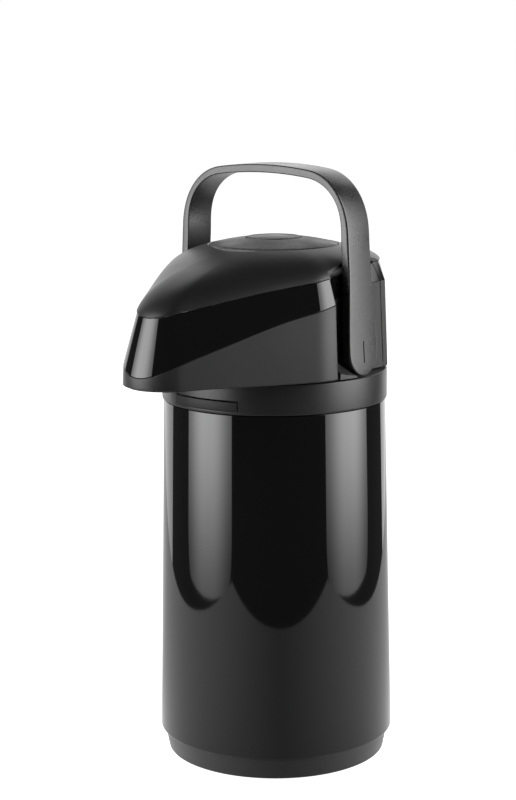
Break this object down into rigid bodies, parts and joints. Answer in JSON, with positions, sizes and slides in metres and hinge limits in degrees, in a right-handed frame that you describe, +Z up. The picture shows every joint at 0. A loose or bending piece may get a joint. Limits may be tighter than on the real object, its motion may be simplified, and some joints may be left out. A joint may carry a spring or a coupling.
{
  "type": "thermal coffee airpot",
  "caption": "Tall round vacuum jug with a pump head, a beak-shaped spout cover, a domed push button, a hinged head with a front release and a swinging carry handle.",
  "frame": {"origin": "centre of the foot on the ground", "axes": "+Z up along the body's axis; the beak points along -Y; +X is the side of the right pivot pin"},
  "size_m": [0.156, 0.2167, 0.3936],
  "materials": {
    "foot_rubber": "matte black rubber, fine grain",
    "base_plastic": "satin charcoal moulded plastic",
    "body_gloss": "high-gloss black",
    "liner_glass": "silvered glass",
    "silicone": "translucent white silicone",
    "collar_satin": "satin charcoal moulded plastic",
    "natural_plastic": "natural white polypropylene",
    "steel": "stainless steel",
    "skirt_satin": "satin charcoal moulded plastic",
    "band_gloss": "mirror-gloss black",
    "dome_satin": "fine-grained satin black",
    "button_matte": "fine-textured matte charcoal",
    "bellows_rubber": "black rubber",
    "handle_matte": "fine-textured matte black"
  },
  "bodies": {
    "vessel": {"foot_pad": "foot_rubber", "base_cap": "base_plastic", "body_shell": "body_gloss", "liner_cushion": "foot_rubber", "glass_liner_outer": "liner_glass", "glass_liner_inner": "liner_glass", "liner_gasket": "silicone", "collar_ring": "collar_satin", "stopper": "natural_plastic", "stopper_seal": "silicone", "dip_tube": "natural_plastic", "hinge_pin": "steel"},
    "head": {"beak_skirt": "skirt_satin", "rear_skirt": "skirt_satin", "gloss_band_front": "band_gloss", "gloss_band_rear": "band_gloss", "band_insert_right": "band_gloss", "band_insert_left": "band_gloss", "dome_cover": "dome_satin", "base_pan": "skirt_satin", "latch_hook": "skirt_satin", "pump_housing": "natural_plastic", "air_valve_flap": "silicone", "spout_tube": "natural_plastic", "spout_nozzle": "skirt_satin", "joint_seal": "silicone", "neck_seal": "silicone", "head_screw_1": "steel", "head_screw_2": "steel", "head_screw_3": "steel", "head_screw_4": "steel", "pivot_plate_right": "skirt_satin", "pivot_plate_left": "skirt_satin", "pivot_bush_right": "natural_plastic", "pivot_bush_left": "natural_plastic"},
    "button": {"button_plate": "button_matte", "button_badge": "button_matte", "button_stem": "natural_plastic", "bellows": "bellows_rubber", "return_spring": "steel"},
    "handle": {"handle_bail": "handle_matte", "pivot_pin_right": "steel", "pivot_pin_left": "steel"},
    "latch": {"latch_button": "collar_satin"}
  },
  "joints": [
    {"name": "head_hinge", "type": "hinge", "parent": "vessel", "child": "head", "pos_m": [0, 0.0776, 0.2608], "axis": [-1, 0, 0], "range_deg": [0, 80]},
    {"name": "handle_swing", "type": "hinge", "parent": "head", "child": "handle", "pos_m": [0, 0, 0.2763], "axis": [1, 0, 0], "range_deg": [-90, 12]},
    {"name": "button_press", "type": "slide", "parent": "head", "child": "button", "axis": [0, 0, -1], "range_m": [0, 0.02], "stiffness_N_per_m": 600, "springref_m": -0.004, "deforming": ["bellows", "return_spring"]},
    {"name": "latch_press", "type": "slide", "parent": "vessel", "child": "latch", "axis": [0, 1, 0], "range_m": [0, 0.0025], "stiffness_N_per_m": 800, "springref_m": -0.001}
  ]
}
